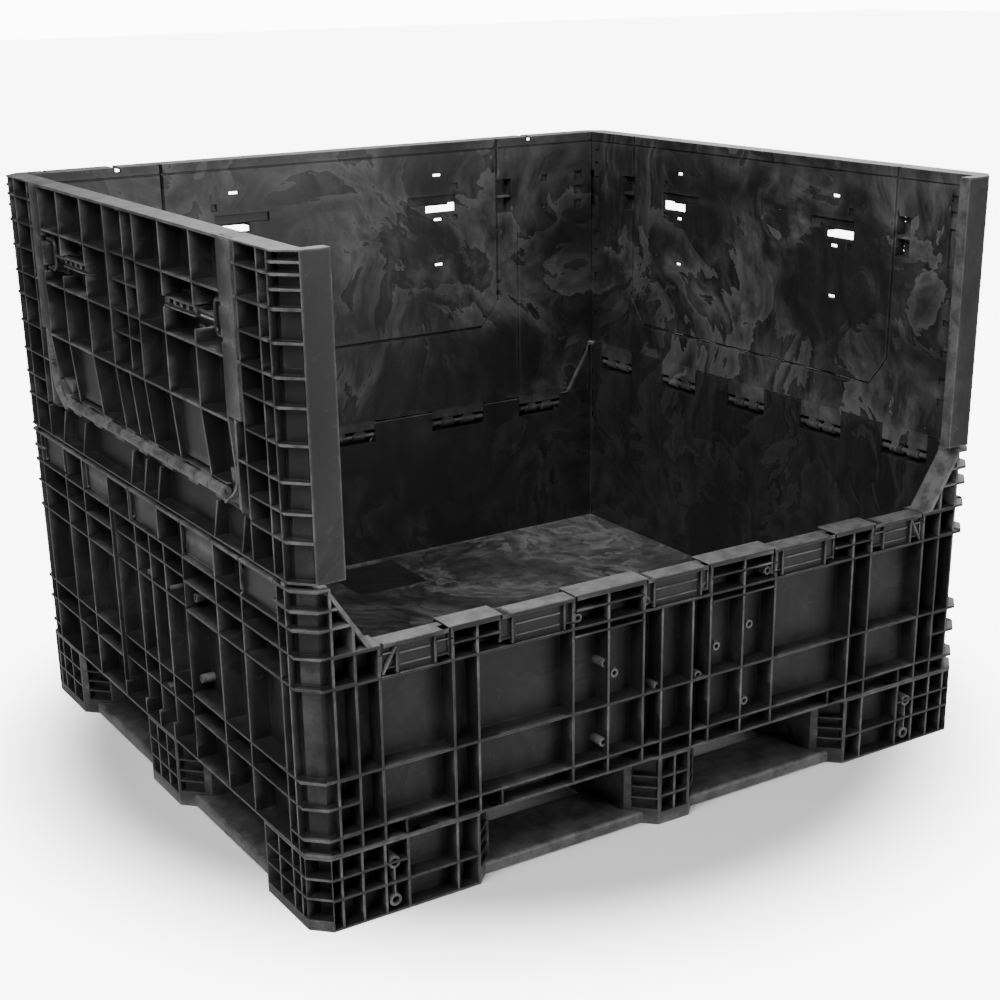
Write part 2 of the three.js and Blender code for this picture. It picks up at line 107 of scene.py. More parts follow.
SIDE_HINGES = [(-465, 60), (-231, 60), (0, 60), (231, 60), (465, 60)]
BACK_HINGES = [(-510, 58), (-283, 70), (0, 64), (283, 70), (510, 58)]
SIDE_PIN = (35, 536)
BACK_PIN = (38, 440)
LATCH_V = (914, 968)
LATCH_W = 11

SIDES = {
    "front": ((1, 0), (0, 1), (0, -WIDTH / 2)),
    "right": ((0, 1), (-1, 0), (LENGTH / 2, 0)),
    "back": ((-1, 0), (0, -1), (0, WIDTH / 2)),
    "left": ((0, -1), (1, 0), (-LENGTH / 2, 0)),
}
FACE = "face"  # the long flat stretch of a wall, door or foot
OUTSIDE, INSIDE = 0, 1  # a face's place in its piece's list of finishes

# Depths from the outer line, as a share of the wall.
SKIN = 0.12  # least skin left between front and back
PANEL = 0.82  # outer face of the plain panels between ribs
BACK_PANEL = 0.78
END_PANEL = 0.75
FOOT_PANEL = 0.86
CORNER_SKIN = 0.34
LAP_SEAT = 0.24  # faces set back for a door's laps and rail
GROOVE = 0.87  # inner face along a seam
FINE_GROOVE = 0.93


def at(side, u, w, v):
    """A wall's own (u, w, v) as a point of the shared frame, in millimetres."""
    along, inward, origin = SIDES[side]
    x, y = (origin[i] + along[i] * u + inward[i] * w for i in (0, 1))
    return Vector((x, y, v))


def both(values):
    """The values and their mirror images across a wall's middle."""
    return sorted({-value for value in values} | set(values))


def span(hand, a, b):
    """From a to b on one hand (-1 or 1) of a wall's middle, lower end first."""
    return tuple(sorted((hand * a, hand * b)))


# ---- closed bodies
def tube_faces(rings, sides, closed):
    """Faces between rings of points, with the last ring joined to the first if closed."""
    faces = []
    for ring in range(rings if closed else rings - 1):
        after = (ring + 1) % rings
        for i in range(sides):
            j = (i + 1) % sides
            faces.append([ring * sides + i, ring * sides + j, after * sides + j, after * sides + i])
    return faces


class Shape:
    """Closed bodies gathered into one mesh."""

    def __init__(self):
        self.points = []
        self.faces = []
        self.finish = []

    def add(self, points, faces, finish=OUTSIDE):
        start = len(self.points)
        self.points += points
        self.faces += [[start + i for i in face] for face in faces]
        self.finish += finish if isinstance(finish, list) else [finish] * len(faces)

    def prism(self, low, high, finish=OUTSIDE):
        """Two like outlines joined into a body."""
        n = len(low)
        ring = [[i, (i + 1) % n, n + (i + 1) % n, n + i] for i in range(n)]
        self.add(low + high, ring + [list(range(n))[::-1], list(range(n, 2 * n))], finish)

    def block(self, side, u, w, v, finish=OUTSIDE):
        corners = [(u[0], w[0]), (u[1], w[0]), (u[1], w[1]), (u[0], w[1])]
        self.prism(*[[at(side, a, b, height) for a, b in corners] for height in v], finish)

    def plate(self, side, outline, w, finish=OUTSIDE):
        """An outline (u, v) with faces at two depths."""
        self.prism(*[[at(side, u, depth, v) for u, v in outline] for depth in w], finish)

    def barrel(self, side, radius, u, w, v, sides=20, finish=OUTSIDE):
        """A cylinder lying along the wall."""
        turn = [2 * math.pi * i / sides for i in range(sides)]
        ring = [(w + radius * math.cos(a), v + radius * math.sin(a)) for a in turn]
        self.prism(*[[at(side, end, b, c) for b, c in ring] for end in u], finish)

    def ring(self, side, u, v, radii, w, sides=20):
        """A hollow boss pointing out of the wall."""
        rims = []
        for radius, depth in [(radii[0], w[0]), (radii[0], w[1]), (radii[1], w[1]), (radii[1], w[0])]:
            for i in range(sides):
                a = 2 * math.pi * i / sides
                rims.append(at(side, u + radius * math.cos(a), depth, v + radius * math.sin(a)))
        self.add(rims, tube_faces(4, sides, closed=True))

    def sweep(self, side, path, radius, w, sides=10):
        """A round bar along a path (u, v) at one depth."""
        points = [Vector((u, v)) for u, v in path]
        rings = []
        for i, point in enumerate(points):
            ahead = points[min(i + 1, len(points) - 1)] - points[max(i - 1, 0)]
            across = Vector((-ahead.y, ahead.x)).normalized()
            for k in range(sides):
                a = 2 * math.pi * k / sides
                spot = point + across * radius * math.cos(a)
                rings.append(at(side, spot.x, w + radius * math.sin(a), spot.y))
        last = (len(points) - 1) * sides
        caps = [list(range(sides)), list(range(last, last + sides))]
        self.add(rings, tube_faces(len(points), sides, closed=False) + caps)

    def mirrored(self, flip_x, flip_y):
        """A copy with x and y each multiplied by 1 or -1."""
        twin = Shape()
        twin.add([Vector((p.x * flip_x, p.y * flip_y, p.z)) for p in self.points], self.faces, self.finish)
        return twin


class Edge:
    """One straight stretch of a wall's plan, with its outer and inner lines."""

    def __init__(self, name, start, end, inner_start, inner_end, first, thickness):
        self.name = name
        self.start = Vector(start)
        self.end = Vector(end)
        self.inner_start = Vector(inner_start)
        self.inner_end = Vector(inner_end)
        self.first = first
        self.length = (self.end - self.start).length
        self.last = first + self.length
        self.thickness = thickness
        self.along = (self.end - self.start).normalized()
        self.inward = Vector((-self.along.y, self.along.x))

    def spot(self, u, depth):
        """The plan point at u; depth 0 is the outer line and 1 the inner."""
        t = u - self.first
        outer = self.start + self.along * t
        if t < 0.01:
            inner = self.inner_start
        elif self.length - t < 0.01:
            inner = self.inner_end
        else:
            slide = self.shift(t, (self.inner_start - self.start).dot(self.along))
            slide -= self.shift(self.length - t, (self.end - self.inner_end).dot(self.along))
            inner = outer + self.along * slide + self.inward * self.thickness
        return outer.lerp(inner, depth)

    @staticmethod
    def shift(t, mitre):
        """How far an inner point slides along near a mitred end."""
        reach = 1.6 * abs(mitre)
        return mitre * (1 - t / reach) if t < reach else 0


def thin_out(lines, least=0.8):
    """Drops lines that crowd the one before, and keeps both ends."""
    kept = [lines[0]]
    for line in lines[1:]:
        if line - kept[-1] >= least:
            kept.append(line)
    if lines[-1] != kept[-1]:
        kept[-1] = lines[-1]
    return kept


class Relief:
    """A moulded wall, cut into rectangles that each have an outer and an inner face at their own depths.

    The steps between neighbours close it into one body. Depth is 0 at the outer line and 1 at the inner.
    """

    def __init__(self, edges, low, high, closed=False, taper=None, slant=None):
        self.edges = edges
        self.rows = {low, high}
        self.closed = closed
        self.taper = taper
        self.slant = slant
        self.cuts = {edge.name: set() for edge in edges}
        self.coats = defaultdict(list)

    def coat(self, names, u=None, v=None, **finish):
        """Sets a rectangle's front and back depth, the least depth of its front, or whether it is gone."""
        for name in [names] if isinstance(names, str) else names:
            self.coats[name].append((u, v, finish))
            self.cuts[name] |= set(u or ())
        self.rows |= set(v or ())

    def coat_face(self, u, v, **finish):
        self.coat(FACE, u, v, **finish)

    def cell(self, name, u, v):
        """The front and back depth at one spot, or None where the wall is open; later coats win."""
        front, back, gone = 0.0, 1.0, False
        for us, vs, finish in self.coats[name]:
            if us and not us[0] < u < us[1] or vs and not vs[0] < v < vs[1]:
                continue
            front = max(finish.get("front", front), finish.get("least", 0))
            back = finish.get("back", back)
            gone = finish.get("gone", gone)
        return None if gone else (min(front, round(back - SKIN, 3)), back)

    def place(self, edge, u, v, depth):
        if self.taper and edge.name == FACE:
            depth += self.taper(u, v) * (1 - depth)
        if self.slant and edge.name == FACE:
            u = self.slant(u, v)
        spot = edge.spot(u, depth)
        return Vector((spot.x, spot.y, v))

    def build(self, finishes=(OUTSIDE, INSIDE)):
        columns, spans = [], []
        for edge in self.edges:
            inside = {u for u in self.cuts[edge.name] if edge.first < u < edge.last}
            lines = thin_out(sorted(inside | {edge.first, edge.last}))
            for a, b in zip(lines, lines[1:]):
                columns.append((edge, a))
                spans.append((edge.name, (a + b) / 2))
        if not self.closed:
            columns.append((self.edges[-1], self.edges[-1].last))
        rows = thin_out(sorted(self.rows))
        cells = {}
        for k, (name, u) in enumerate(spans):
            for j in range(len(rows) - 1):
                depths = self.cell(name, u, (rows[j] + rows[j + 1]) / 2)
                if depths:
                    cells[k, j] = depths
        count = len(columns)
        levels = defaultdict(set)
        for (k, j), depths in cells.items():
            for corner in [(k, j), ((k + 1) % count, j), (k, j + 1), ((k + 1) % count, j + 1)]:
                levels[corner] |= set(depths)
        points, faces, finish, known = [], [], [], {}

        def vertex(corner, depth):
            key = (*corner, depth)
            if key not in known:
                known[key] = len(points)
                edge, u = columns[corner[0]]
                points.append(self.place(edge, u, rows[corner[1]], depth))
            return known[key]

        def ladder(corner, a, b):
            """The vertices on a corner line from depth a to b, with every level that a neighbour uses."""
            rungs = sorted(d for d in levels[corner] if min(a, b) <= d <= max(a, b))
            return [vertex(corner, d) for d in (rungs if a <= b else rungs[::-1])]

        def steps(one, other, a, b):
            """Faces where only one of two neighbours is solid, between corner lines a and b."""
            marks = sorted({d for cell in (one, other) if cell for d in cell})
            for near, far in zip(marks, marks[1:]):
                middle = (near + far) / 2
                solid = [bool(cell) and cell[0] < middle < cell[1] for cell in (one, other)]
                if solid[0] == solid[1]:
                    continue
                face = ladder(a, near, far) + ladder(b, far, near)
                faces.append(face if solid[0] else face[::-1])
                owner = one if solid[0] else other
                finish.append(finishes[1] if far == owner[1] and near > 0 else finishes[0])

        for (k, j), (front, back) in cells.items():
            corners = [(k, j), ((k + 1) % count, j), ((k + 1) % count, j + 1), (k, j + 1)]
            faces.append([vertex(c, front) for c in corners])
            finish.append(finishes[0])
            faces.append([vertex(c, back) for c in reversed(corners)])
            finish.append(finishes[1])
        width = len(spans)
        for k in range(width + (not self.closed)):
            before = (k - 1) % width if self.closed else k - 1
            for j in range(len(rows) - 1):
                steps(cells.get((before, j)), cells.get((k, j)), (k, j), (k, j + 1))
        for k in range(width):
            for j in range(len(rows)):
                right = (k + 1) % count
                steps(cells.get((k, j)), cells.get((k, j - 1)), (k, j), (right, j))
        shape = Shape()
        shape.add(points, faces, finish)
        return shape


def new_object(name, data):
    thing = bpy.data.objects.new(name, data)
    bpy.context.scene.collection.objects.link(thing)
    return thing


def piece(name, shape, body, materials, stands_for, bevel=0.8, segments=1):
    """Makes the shape an object with eased edges, and rides it on its body."""
    build = bmesh.new()
    spots = [build.verts.new(point * MM) for point in shape.points]
    for corners, finish in zip(shape.faces, shape.finish):
        face = build.faces.new([spots[i] for i in corners])
        face.material_index = min(finish, len(materials) - 1)
    bmesh.ops.recalc_face_normals(build, faces=build.faces)
    mesh = bpy.data.meshes.new(name)
    build.to_mesh(mesh)
    build.free()
    mesh.polygons.foreach_set("use_smooth", [True] * len(mesh.polygons))
    thing = new_object(name, mesh)
    for material in materials:
        mesh.materials.append(material)
    ease_edges(thing, bevel, segments)
    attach(thing, body)
    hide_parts(*stands_for)
    return thing


def ease_edges(thing, width, segments=1):
    ease = thing.modifiers.new("eased_edges", "BEVEL")
    ease.width = width * MM
    ease.segments = segments
    ease.limit_method = "ANGLE"
    ease.angle_limit = math.radians(35)
    ease.use_clamp_overlap = False
    ease.harden_normals = True


# ---- finishes
def socket(group, name, kind, way="INPUT", default=None):
    made = group.interface.new_socket(name=name, in_out=way, socket_type="NodeSocket" + kind)
    if default is not None:
        made.default_value = default


class Nodes:
    """Short words for building a node tree."""

    def __init__(self, tree):
        self.tree = tree

    def make(self, kind, links=(), **settings):
        node = self.tree.nodes.new(kind)
        for key, value in settings.items():
            setattr(node, key, value)
        for name, value in dict(links).items():
            target = node.inputs[name]
            if isinstance(value, bpy.types.NodeSocket):
                self.tree.links.new(value, target)
            else:
                target.default_value = value
        return node

    def math(self, operation, a, b=0.0, clamp=False):
        return self.make("ShaderNodeMath", {0: a, 1: b}, operation=operation, use_clamp=clamp).outputs[0]

    def remap(self, value, low, high, to_low=0.0, to_high=1.0):
        links = {"Value": value, "From Min": low, "From Max": high, "To Min": to_low, "To Max": to_high}
        return self.make("ShaderNodeMapRange", links, interpolation_type="SMOOTHSTEP").outputs["Result"]

    def noise(self, vector, scale, detail=4.0, rough=0.55, distortion=0.0):
        links = {"Vector": vector, "Scale": scale, "Detail": detail, "Roughness": rough,
                 "Distortion": distortion}
        return self.make("ShaderNodeTexNoise", links).outputs["Fac"]

    def scale(self, vector, factor):
        return self.make("ShaderNodeVectorMath", {0: vector, "Scale": factor}, operation="SCALE").outputs[0]

    def join(self, source, target):
        self.tree.links.new(source, target)


def make_swirl_group():
    """Flow marks left where the melt folded over itself: plumes with one ragged edge, and fine streaks."""
    group = bpy.data.node_groups.new("flow_marks", "ShaderNodeTree")
    socket(group, "Size", "Float", default=1.0)
    socket(group, "Plumes", "Float", "OUTPUT")
    socket(group, "Streaks", "Float", "OUTPUT")
    nodes = Nodes(group)
    given = nodes.make("NodeGroupInput").outputs
    result = nodes.make("NodeGroupOutput")
    where = nodes.make("ShaderNodeTexCoord").outputs["Object"]
    where = nodes.scale(where, given["Size"])
    bend = nodes.make("ShaderNodeTexNoise", {"Vector": where, "Scale": 1.9, "Detail": 3.0}).outputs["Color"]
    bend = nodes.scale(bend, 0.42)
    bent = nodes.make("ShaderNodeVectorMath", {0: where, 1: bend}, operation="ADD").outputs[0]
    drawn = nodes.make("ShaderNodeMapping", {"Vector": bent, "Scale": (1.0, 1.0, 0.28)}).outputs[0]
    fold = nodes.noise(bent, scale=2.8, detail=6.0, rough=0.6, distortion=0.6)
    fold = nodes.math("FRACT", nodes.math("MULTIPLY", fold, 9.0))
    patch = nodes.remap(nodes.noise(bent, scale=4.4), 0.36, 0.6)
    fine = nodes.noise(drawn, scale=24.0, detail=5.0, rough=0.65, distortion=0.8)
    fine = nodes.remap(fine, 0.36, 0.68)
    plumes = nodes.math("MULTIPLY", nodes.math("POWER", fold, 1.8), patch)
    streaks = nodes.math("MULTIPLY", fine, nodes.math("ADD", patch, 0.25))
    nodes.join(plumes, result.inputs["Plumes"])
    nodes.join(streaks, result.inputs["Streaks"])
    return group


def make_wear_and_highlight_group():
    """Masks of crests, lightened partly as rubbed wear and partly as a painted highlight where edges catch
    the light, and of small scattered scuffs.
    """
    group = bpy.data.node_groups.new("rubbed_edges", "ShaderNodeTree")
    socket(group, "Reach", "Float", default=0.5)
    socket(group, "Edges", "Float", "OUTPUT")
    socket(group, "Scuffs", "Float", "OUTPUT")
    nodes = Nodes(group)
    given = nodes.make("NodeGroupInput").outputs
    result = nodes.make("NodeGroupOutput")
    where = nodes.make("ShaderNodeTexCoord").outputs["Object"]
    # Pointiness picks out convex crests; lightening them is partly rubbed wear and partly a painted
    # highlight.
    highlit_crest = nodes.remap(nodes.make("ShaderNodeNewGeometry").outputs["Pointiness"], 0.5, 0.57)
    patch = nodes.remap(nodes.noise(where, scale=26.0, detail=6.0, rough=0.75), 0.32, 0.68)
    highlit_crest = nodes.math("MULTIPLY", highlit_crest, given["Reach"])
    worn_and_highlit = nodes.math("MULTIPLY", highlit_crest, nodes.math("ADD", patch, 0.3), True)
    nodes.join(worn_and_highlit, result.inputs["Edges"])
    scuff = nodes.noise(where, scale=55.0, detail=3.0, rough=0.75, distortion=1.2)
    scuff = nodes.math("MULTIPLY", nodes.remap(scuff, 0.6, 0.74), patch)
    nodes.join(scuff, result.inputs["Scuffs"])
    return group


FLOW = make_swirl_group()
WEAR_AND_HIGHLIGHT = make_wear_and_highlight_group()


def moulded(name, dark, pale, rough, swirl, streak, wear_and_highlight, grain=0.05, size=1.0):
    """Black polyethylene: dark and pale are its colours, rough a (marked, plain) pair of roughnesses. Pale
    shows in flow marks, scuffs and crests; on crests it is partly wear and partly a painted highlight.
    """
    material = bpy.data.materials.new(name)
    material.use_nodes = True
    material.node_tree.nodes.clear()
    nodes = Nodes(material.node_tree)
    where = nodes.make("ShaderNodeTexCoord").outputs["Object"]
    flow = nodes.make("ShaderNodeGroup", node_tree=FLOW)
    flow.inputs["Size"].default_value = size
    rubbed_and_highlit = nodes.make("ShaderNodeGroup", node_tree=WEAR_AND_HIGHLIGHT)
    rubbed_and_highlit.inputs["Reach"].default_value = wear_and_highlight
    plumes = nodes.math("MULTIPLY", flow.outputs["Plumes"], swirl)
    streaks = nodes.math("MULTIPLY", flow.outputs["Streaks"], streak)
    marks = nodes.math("ADD", plumes, streaks, True)
    scuffs = nodes.math("MULTIPLY", rubbed_and_highlit.outputs["Scuffs"], 0.25)
    # Crests lightened as rubbed wear and as a painted edge highlight, plus scuffs.
    rub_and_highlight = nodes.math("ADD", rubbed_and_highlit.outputs["Edges"], scuffs, True)
    amount = nodes.math("ADD", nodes.math("MULTIPLY", marks, 0.6), rub_and_highlight, True)
    tints = {"Factor": amount, "A": (*dark, 1), "B": (*pale, 1)}
    colour = nodes.make("ShaderNodeMix", tints, data_type="RGBA")
    plain = nodes.math("SUBTRACT", 1.0, marks, True)
    shine = {"Value": plain, "To Min": rough[1], "To Max": rough[0]}
    dull = nodes.make("ShaderNodeMapRange", shine).outputs[0]
    tooth = nodes.noise(where, scale=700.0, detail=2.0, rough=0.6)
    wave = nodes.noise(where, scale=22.0, detail=3.0, rough=0.5, distortion=0.6)
    height = nodes.math("ADD", nodes.math("MULTIPLY", tooth, 0.25), wave)
    bump = nodes.make("ShaderNodeBump", {"Strength": grain, "Distance": 0.004, "Height": height})
    links = {"Base Color": colour.outputs["Result"], "Roughness": dull, "Normal": bump.outputs[0]}
    skin = nodes.make("ShaderNodeBsdfPrincipled", links)
    skin.inputs["IOR"].default_value = 1.52
    skin.inputs["Specular IOR Level"].default_value = 0.34
    end = nodes.make("ShaderNodeOutputMaterial")
    nodes.join(skin.outputs[0], end.inputs[0])
    return material


# The last positional number sets how far crests are lightened, as rubbed wear and as painted edge
# highlights; strongest on the outer shell, latches and pins.
OUTER = moulded("moulded_shell", (0.0085, 0.0085, 0.009), (0.14, 0.14, 0.14), (0.46, 0.6), 0.14, 0.12, 0.85)
# Inside faces: the same plastic as the outer shell with a lighter base colour, painted light for the light
# falling on the inner walls; their heavier flow marks are the plastic's own.
INNER = moulded("flow_marked_inside", (0.014, 0.014, 0.0145), (0.19, 0.19, 0.192), (0.38, 0.62),
                0.75, 0.3, 0.12, grain=0.12)
TUB_SKIN = moulded("smooth_tub_wall", (0.013, 0.013, 0.0135), (0.08, 0.08, 0.081), (0.38, 0.55),
                   0.4, 0.25, 0.12, grain=0.08)
FLOOR_SKIN = moulded("scuffed_floor", (0.026, 0.026, 0.027), (0.32, 0.32, 0.32), (0.38, 0.6), 0.8, 0.4, 0.2,
                     grain=0.10, size=1.3)
PLATE_SKIN = moulded("cover_plate", (0.012, 0.012, 0.0125), (0.04, 0.04, 0.04), (0.45, 0.55), 0.2, 0.2, 0.6)
LATCH_SKIN = moulded("latch_plastic", (0.010, 0.010, 0.011), (0.08, 0.08, 0.08), (0.3, 0.42), 0.1, 0.1, 0.8)
PIN_SKIN = moulded("hinge_rod", (0.022, 0.022, 0.023), (0.1, 0.1, 0.1), (0.28, 0.4), 0.2, 0.4, 0.9)
WALL_SKINS = [OUTER, INNER]
BASE_SKINS = [OUTER, TUB_SKIN]


# ---- plans
def line_meet(start, way, other, other_way):
    """Where the line from start along way meets the line from other along other_way."""
    cross = way.x * other_way.y - way.y * other_way.x
    far = ((other.x - start.x) * other_way.y - (other.y - start.y) * other_way.x) / cross
    return start + way * far


def loop_edges(names, corners, thicknesses, firsts):
    """A closed plan from its corners, with its inner line set in by each edge's thickness."""
    corners = [Vector(corner) for corner in corners]
    n = len(corners)
    along = [(corners[(i + 1) % n] - corners[i]).normalized() for i in range(n)]
    shifted = [corners[i] + Vector((-along[i].y, along[i].x)) * thicknesses[i] for i in range(n)]
    inner = [line_meet(shifted[i - 1], along[i - 1], shifted[i], along[i]) for i in range(n)]
    edges = []
    for i, name in enumerate(names):
        after = (i + 1) % n
        ends = (corners[i], corners[after], inner[i], inner[after])
        edges.append(Edge(name, *ends, firsts[i], thicknesses[i]))
    return edges


def base_edges():
    x, y = LENGTH / 2, WIDTH / 2
    names = ["front", "corner_b", "right", "corner_c", "back", "corner_d", "left", "corner_a"]
    corners = [(-x + CORNER, -y), (x - CORNER, -y), (x, -y + CORNER), (x, y - CORNER),
               (x - CORNER, y), (-x + CORNER, y), (-x, y - CORNER), (-x, -y + CORNER)]
    chamfer_t = (SIDE_T + END_T) / 2
    thicknesses = [END_T, chamfer_t, SIDE_T, chamfer_t] * 2
    firsts = [-x + CORNER, 0, -y + CORNER, 0] * 2
    return loop_edges(names, corners, thicknesses, firsts)


def plan_point(side, u, w):
    spot = at(side, u, w, 0)
    return Vector((spot.x, spot.y))


def upper_wall_edges(side):
    """Lip, chamfer, face, chamfer, lip: the plan of a left or right upper wall."""
    end = WIDTH / 2
    outer = [(-end, SIDE_T + LIP_REACH), (-end, CORNER), (-end + CORNER, 0),
             (end - CORNER, 0), (end, CORNER), (end, SIDE_T + LIP_REACH)]
    bend_in, bend_out = end - 47, end - 34
    inner = [(-end + LIP_T, SIDE_T + LIP_REACH), (-bend_out, SIDE_T), (-bend_in, SIDE_T),
             (bend_in, SIDE_T), (bend_out, SIDE_T), (end - LIP_T, SIDE_T + LIP_REACH)]
    names = ["lip_1", "chamfer_1", FACE, "chamfer_2", "lip_2"]
    firsts = [-SIDE_T - LIP_REACH, 0, -end + CORNER, 0, CORNER]
    thicknesses = [LIP_T, SIDE_T, SIDE_T, SIDE_T, LIP_T]
    edges = []
    for i, name in enumerate(names):
        ends = [plan_point(side, *spot) for spot in (outer[i], outer[i + 1], inner[i], inner[i + 1])]
        edges.append(Edge(name, *ends, firsts[i], thicknesses[i]))
    return edges


def straight_edge(side, reach, thickness):
    ends = [plan_point(side, u, w) for w in (0, thickness) for u in (-reach, reach)]
    return [Edge(FACE, *ends, -reach, thickness)]


def rib_at(wall, names, lines, v, front=0.0, width=RIB):
    """Upright ribs."""
    for line in lines:
        wall.coat(names, (line - width / 2, line + width / 2), v, front=front)


def shelf_at(wall, names, heights, u=None, front=0.0, width=RIB):
    """Level ribs."""
    for height in heights:
        wall.coat(names, u, (height - width / 2, height + width / 2), front=front)


# ---- pallet base
ENDS = ("front", "back")
FLANKS = ("left", "right")
CORNERS = ("corner_a", "corner_b", "corner_c", "corner_d")
SLOPE_LOW = 590  # where the sill starts to slope up to the high rim
SLOPE_HIGH = 651.5
CHEEK_END = 655
CORNER_BAND = (136, 567)  # height of the shallow corner cells


def coat_hinge_pocket(shell, names, centre, half, pin_v, frame, back):
    """An opening in the rim for a wall's knuckles, with ribs that frame it and a floor below the pin."""
    pocket = (centre - half, centre + half)
    rib_at(shell, names, [pocket[0] - 2, pocket[1] + 2], frame, 0.1, 4)
    shelf_at(shell, names, [pin_v - 18], pocket, 0.1, 4)
    shell.coat(names, pocket, (pin_v - 16, LEDGE), back=back)
    return pocket


def coat_base_ends(shell):
    """Front and back of the base: deep cells, a shallow band over the hinge pockets and a flanged sill."""
    shell.coat(ENDS, (-672, 672), (136, 568), front=END_PANEL)
    rib_at(shell, ENDS, both([654, 617, 576, 445, 400, 216.5, 145, 72, 33]), (133, SILL))
    shelf_at(shell, ENDS, [163, 259, 410])
    shell.coat(ENDS, None, (458, SILL), front=0)
    for hand in (-1, 1):
        shelf_at(shell, ENDS, [133, 160, 213, 257, 413, 463, 507, 537, 569.5], span(hand, 617, 675))
        shelf_at(shell, ENDS, [447], span(hand, 445, 576), 0.06, 3)
        shelf_at(shell, ENDS, [437], span(hand, 353, 445), 0.04, 4)
        shelf_at(shell, ENDS, [440, 395], span(hand, 72, 216.5), 0.03, 4)
        rib_at(shell, ENDS, [hand * 537, hand * 357], (136, 160.5), 0.03, 4)
        rib_at(shell, ENDS, [hand * 312], (412.5, 458), 0.05, 4)
        rib_at(shell, ENDS, [hand * 654], (SILL, HIGH_RIM))
        shell.coat(ENDS, span(hand, 656.5, 675), CORNER_BAND, front=CORNER_SKIN)
        shelf_at(shell, ENDS, [160, 213, 259, 411, 463, 507, 537], span(hand, 656.5, 675))
    for centre, half in BACK_HINGES:
        pocket = coat_hinge_pocket(shell, ENDS, centre, half, BACK_PIN[1], (418, SILL), 0.292)
        shell.coat("front", pocket, (SILL - 6, SILL), back=0.74)
        wide = 34 if abs(centre) > 400 else 50
        shell.coat(ENDS, (centre - wide, centre + wide), (412.5, 458), front=0.17)
        shelf_at(shell, ENDS, [423, 442], (centre - wide + 6, centre + wide - 6), 0.12, 3)
        rib_at(shell, ENDS, [centre - wide, centre + wide], (412.5, 458), 0.03, 4)
    shell.coat(ENDS, (-SLOPE_HIGH, SLOPE_HIGH), (SILL, LEDGE), gone=True)
    for (centre, half), (after, after_half) in zip(BACK_HINGES, BACK_HINGES[1:]):
        shell.coat(ENDS, (centre + half, after - after_half), (SILL, SILL + 2.5), gone=False, front=0)


def coat_base_flanks(shell):
    """Left and right of the base: taller, with blank plates in the top band."""
    shell.coat(FLANKS, (-580, 580), (136, 566), front=PANEL)
    rib_at(shell, FLANKS, both([565, 537, 405, 304, 168, 67, 0]), (133, HIGH_RIM))
    shelf_at(shell, FLANKS, [215, 258, 413, 465, 508])
    shell.coat(FLANKS, (-168, 168), (166, 506), least=0.16)
    for hand in (-1, 1):
        shelf_at(shell, FLANKS, [160], span(hand, 537, 582))
        shelf_at(shell, FLANKS, [540], span(hand, 405, 582))
        shell.coat(FLANKS, span(hand, 567.5, 582), CORNER_BAND, front=CORNER_SKIN)
        shelf_at(shell, FLANKS, [160, 214, 258, 412, 464, 507, 537], span(hand, 567.5, 582))
    for centre, half in SIDE_HINGES:
        coat_hinge_pocket(shell, FLANKS, centre, half, SIDE_PIN[1], (514, HIGH_RIM), 0.318)
        shell.coat(FLANKS, (centre - half + 3, centre + half - 3), (512, 565), front=0.19)
    rib_at(shell, FLANKS, both([170, 62]), (508, HIGH_RIM), 0.03)
    shell.coat(FLANKS, (-SIDE_DOOR - 150, SIDE_DOOR + 150), (HIGH_RIM, LEDGE), front=0.45)
    for centre, half in SIDE_HINGES:
        shell.coat(FLANKS, (centre - half, centre + half), (HIGH_RIM, LEDGE), gone=True)
    for hand in (-1, 1):
        shell.coat(FLANKS, span(hand, 568, 582), (HIGH_RIM, LEDGE), gone=True)


def add_slope_cheeks(shape, side):
    """The sloping ends of the sill, rising to the high rim."""
    rib, rib_w = 617, (1, 40)
    rise = (HIGH_RIM - SILL) / (CHEEK_END - SLOPE_LOW)
    for hand in (-1, 1):
        def spots(*pairs):
            return [(hand * u, v) for u, v in pairs]
        cheek = spots((SLOPE_LOW - 4, SILL - 2), (CHEEK_END, SILL - 2), (CHEEK_END, HIGH_RIM - 2))
        shape.plate(side, cheek, (38, END_T - 0.3), INSIDE)
        flange = spots((SLOPE_LOW - 6, SILL - 4), (SLOPE_LOW + 3, SILL - 4),
                       (CHEEK_END + 1, HIGH_RIM - 12), (CHEEK_END + 1, HIGH_RIM + 0.2))
        shape.plate(side, flange, (0.2, END_T))
        rib_top = SILL + (rib - SLOPE_LOW) * rise - 3
        shape.block(side, span(hand, rib - RIB / 2, rib + RIB / 2), rib_w, (SILL - 3, rib_top))
        shape.block(side, span(hand, 616, 653), rib_w, (505, 509.5))
        shape.block(side, span(hand, 636, 653), rib_w, (535, 539.5))


# Hollow bosses among the ribs, as (u, v).
BASE_BOSSES = [(-147, 332), (-128, 310), (-150, 188), (-37, 263), (52, 263), (165, 333), (92, 308),
               (160, 188), (-203, 425), (-63, 425), (63, 425), (203, 425)]
FLANK_BOSSES = [(182, 435), (182, 287), (64, 418), (-28, 418), (22, 215)]


